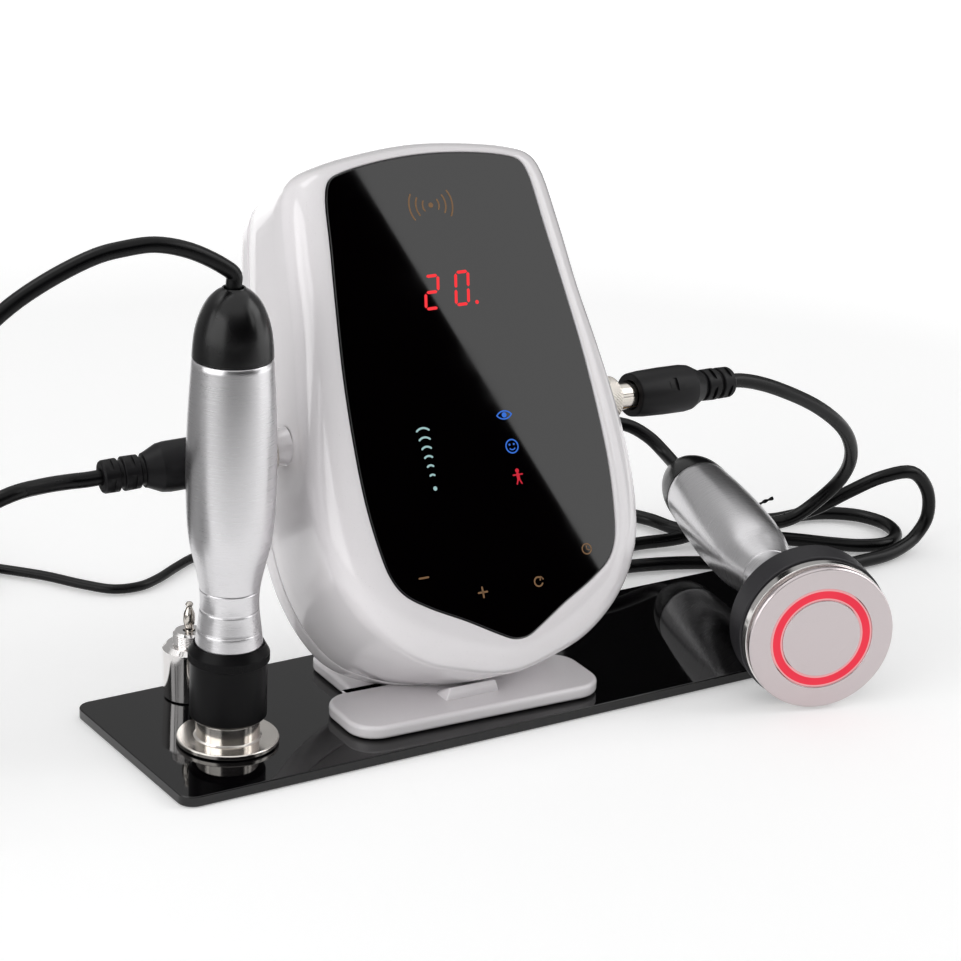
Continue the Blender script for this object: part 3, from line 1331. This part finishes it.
def mains_adapter():
    end = Matrix.Translation(ADAPTER_END)
    middle = Vector((ADAPTER_BACK + ADAPTER_LENGTH / 2, 0))
    ring = [p - middle for p in rounded_box_outline(ADAPTER_LENGTH, ADAPTER_WIDTH, 5, 8)]
    builder = slab(ring, 0, ADAPTER_HEIGHT, 1.2, 5)
    relief = turned(RELIEF, 32)
    relief.transform(moved(0, 0, 6.6) @ turned_about("Y", 90))
    joined(builder, relief)
    case = piece("adapter_case", builder, end, 35, SATIN_BLACK, ("mains_adapter",))
    for index, side in ((1, -1), (2, 1)):
        pin_at = end @ moved(-ADAPTER_BACK - ADAPTER_LENGTH, side * 9.5, ADAPTER_HEIGHT / 2)
        turned_piece(
            f"adapter_pin_{index}", [(0, -9), (2, -9), (2, 17.9), (1.6, 18.8), (0, 19)],
            pin_at @ turned_about("Y", -90), PLAIN_NICKEL, (f"adapter_prong_{index}",),
            radius=0.4, segments=32,
        )
    return case


ADAPTER = mains_adapter()


# Frame nodes that stay, with their finishes

for finish, names in (
    (PLAIN_NICKEL, "shell_screw_1 shell_screw_2 shell_screw_3 shell_screw_4 face_pin body_pin"),
    (BOARD_GREEN, "display_board main_board body_light_board"),
    (SATIN_BLACK, "digit_display rocker_frame power_rocker face_insulator"),
    (BRASS, "touch_key_strip left_plug_pin right_plug_pin face_contact body_contact"),
    (TIP_CHROME, "face_pole_1 face_pole_2 face_pole_3"),
    (WOUND_CORE, "rf_transformer"), (BLOCK_ALLOY, "cooling_block"), (DIFFUSER, "light_guide"),
):
    for name in names.split():
        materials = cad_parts[name].data.materials
        materials.clear()
        materials.append(finish)


# What the cords are


# Floor, background and light

WORLD_SOFT, WALL_FRONT, WALL_BACK = 0.58, 0.015, 0.38
WALL_RADIUS, WALL_HEIGHT = 6.0, 5.6
FLOOR_EXTRA = 0.25
TOWARDS_BACK = Vector((0.545, 0.838, 0))
WHITE = (1, 1, 1, 1)


def seen_rays(tree):
    """One for rays that look straight at a surface, mirror it or look through glass at it."""
    path = tree.nodes.new("ShaderNodeLightPath")
    shiny = maths(tree, "MAXIMUM", path.outputs["Is Glossy Ray"], path.outputs["Is Transmission Ray"])
    return maths(tree, "MAXIMUM", path.outputs["Is Camera Ray"], shiny)


def set_world():
    """White to the camera and to gloss and glass, and soft light for everything else."""
    world = bpy.data.worlds.new("studio")
    bpy.context.scene.world = world
    world.use_nodes = True
    tree = world.node_tree
    background = tree.nodes["Background"]
    background.inputs["Color"].default_value = WHITE
    tree.links.new(ranged(tree, seen_rays(tree), 0, 1, WORLD_SOFT, 1.0), background.inputs["Strength"])


def dot(tree, vector, direction):
    node = add_node(tree, "ShaderNodeVectorMath", {"operation": "DOT_PRODUCT"}, {0: vector, 1: direction})
    return node.outputs["Value"]


def studio_wall():
    """A round wall open to the bright ceiling, pale behind the object and dim in front, for gloss only."""
    builder = bmesh.new()
    bmesh.ops.create_cone(
        builder, cap_ends=False, segments=64, radius1=WALL_RADIUS, radius2=WALL_RADIUS, depth=WALL_HEIGHT,
        matrix=Matrix.Translation((0, 0, WALL_HEIGHT / 2)),
    )
    material, tree, strength = glow_material("studio wall")
    place = tree.nodes.new("ShaderNodeTexCoord").outputs["Object"]
    way = add_node(tree, "ShaderNodeVectorMath", {"operation": "NORMALIZE"}, {0: place}).outputs["Vector"]
    height = add_node(tree, "ShaderNodeSeparateXYZ", None, {0: way}).outputs["Z"]
    wall = ranged(tree, dot(tree, way, TOWARDS_BACK), -0.25, 0.35, WALL_FRONT, WALL_BACK)
    ceiling = ranged(tree, height, 0.46, 0.68, 0.0, 1.0)
    tree.links.new(maths(tree, "MAXIMUM", wall, ceiling), strength)
    gloss_only("studio wall", builder, material)


def glow_material(name):
    """A black surface that only gives off plain white light: it, its tree and its strength socket."""
    material = bpy.data.materials.new(name)
    material.use_nodes = True
    shader = material.node_tree.nodes["Principled BSDF"]
    shader.inputs["Base Color"].default_value = (0, 0, 0, 1)
    shader.inputs["Specular IOR Level"].default_value = 0
    shader.inputs["Emission Color"].default_value = WHITE
    return material, material.node_tree, shader.inputs["Emission Strength"]


def gloss_only(name, builder, material):
    """A stage mesh that only gloss sees."""
    mesh = bpy.data.meshes.new(name)
    builder.to_mesh(mesh)
    builder.free()
    mesh.materials.append(material)
    obj = new_object(name, mesh)
    obj.visible_camera = obj.visible_diffuse = obj.visible_shadow = obj.visible_transmission = False


def set_floor():
    builder = bmesh.new()
    bmesh.ops.create_circle(builder, cap_ends=True, radius=9, segments=64)
    mesh = bpy.data.meshes.new("floor")
    builder.to_mesh(mesh)
    builder.free()
    floor = new_object("floor", mesh)
    floor.location.z = -0.0004
    finish = Finish("pale floor", Roughness=0.8, Specular_IOR_Level=0.0)
    tree = finish.tree
    away = add_node(
        tree, "ShaderNodeVectorMath", {"operation": "LENGTH"}, {0: finish.coordinates}
    ).outputs["Value"]
    far = ranged(tree, away, 0.5, 1.4, FLOOR_EXTRA, 1.0)
    finish.shader.inputs["Base Color"].default_value = (0.92, 0.92, 0.92, 1)
    finish.shader.inputs["Emission Color"].default_value = WHITE
    finish.feed("Emission Strength", maths(tree, "MULTIPLY", seen_rays(tree), far))
    mesh.materials.append(finish.material)


def soft_box(name, at, width, height, power):
    """A soft lamp turned towards the object."""
    light = bpy.data.lights.new(name, "AREA")
    light.shape = "RECTANGLE"
    light.size, light.size_y, light.energy = width, height, power
    obj = new_object(name, light)
    obj.location = at
    obj.rotation_mode = "QUATERNION"
    obj.rotation_quaternion = (Vector((0, 0, 0.08)) - Vector(at)).to_track_quat("-Z", "Y")


def card(name, corners, level, fade=None):
    """A plain studio card, lit or dark, that only gloss sees, its level fading towards a direction."""
    builder = bmesh.new()
    builder.faces.new([builder.verts.new(corner) for corner in corners])
    material, tree, strength = glow_material(name)
    strength.default_value = level
    if fade:
        direction, low, high, far_level = fade
        place = tree.nodes.new("ShaderNodeTexCoord").outputs["Object"]
        tree.links.new(ranged(tree, dot(tree, place, direction), low, high, level, far_level), strength)
    gloss_only(name, builder, material)


def panel_card(name, outline, distance, level):
    """A card put where the panel mirrors the given outline on it to the camera."""
    facing = (CONSOLE.to_3x3() @ Vector((0, 0, 1))).normalized()
    corners = []
    for x, y in outline:
        place = CONSOLE @ Vector((x, y, PANEL_PROUD)) * MM
        corners.append(place + (place - CAMERA_AT).normalized().reflect(facing) * distance)
    card(name, corners, level)


def rug(name, height, corners, level, fade=None):
    card(name, [(x, y, height) for x, y in corners], level, fade)


set_world()
set_floor()
studio_wall()
soft_box("key box", (-1.6, -0.2, 0.5), 1.7, 1.0, 15)
soft_box("right box", (1.2, -0.5, 0.9), 0.8, 0.9, 5)
panel_card("panel card", ((-56.1, 168.1), (65.4, -122.5), (205, -62), (84, 228)), 1.1, 1.95)
panel_card("dark card", ((-120, 240), (-120, -150), (120, -150), (120, 240)), 1.2, 0.0)
card("left card", [(-1.3, -0.9, 0.05), (-1.3, 0.1, 0.05), (-1.3, 0.1, 0.7), (-1.3, -0.9, 0.7)], 1.9)
card("right card", [(1.0, -1.0, 0.1), (1.3, -0.3, 0.1), (1.3, -0.3, 0.55), (1.0, -1.0, 0.55)], 1.6)
card("low flag", [(0.26, 0.36, 0.0), (0.9, 0.36, 0.0), (0.9, 0.36, 0.27), (0.3, 0.36, 0.27)], 0.01)
card("top card", [(-0.9, 0.1, 1.2), (-0.1, 0.1, 1.4), (-0.1, 0.7, 1.4), (-0.9, 0.7, 1.2)], 3.0)
rug(
    "front rug", 0.0003, [(-3.5, -1.0), (1.0, -3.6), (1.6, -2.0), (0.55, -0.5), (-0.6, 0.05), (-2.6, 0.9)],
    0.85, (-TOWARDS_BACK, 0.30, 0.80, 0.06),
)
rug("left rug", 0.0002, [(-6, -1), (-0.2, 0.03), (-0.12, 1.4), (-0.12, 6), (-6, 6)], 0.3)
rug("back rug", 0.0004, [(-1.2, 0.16), (-0.12, 0.16), (-0.12, 1.4), (-1.2, 1.4)], 0.25)

bpy.context.scene.view_settings.view_transform = "Standard"
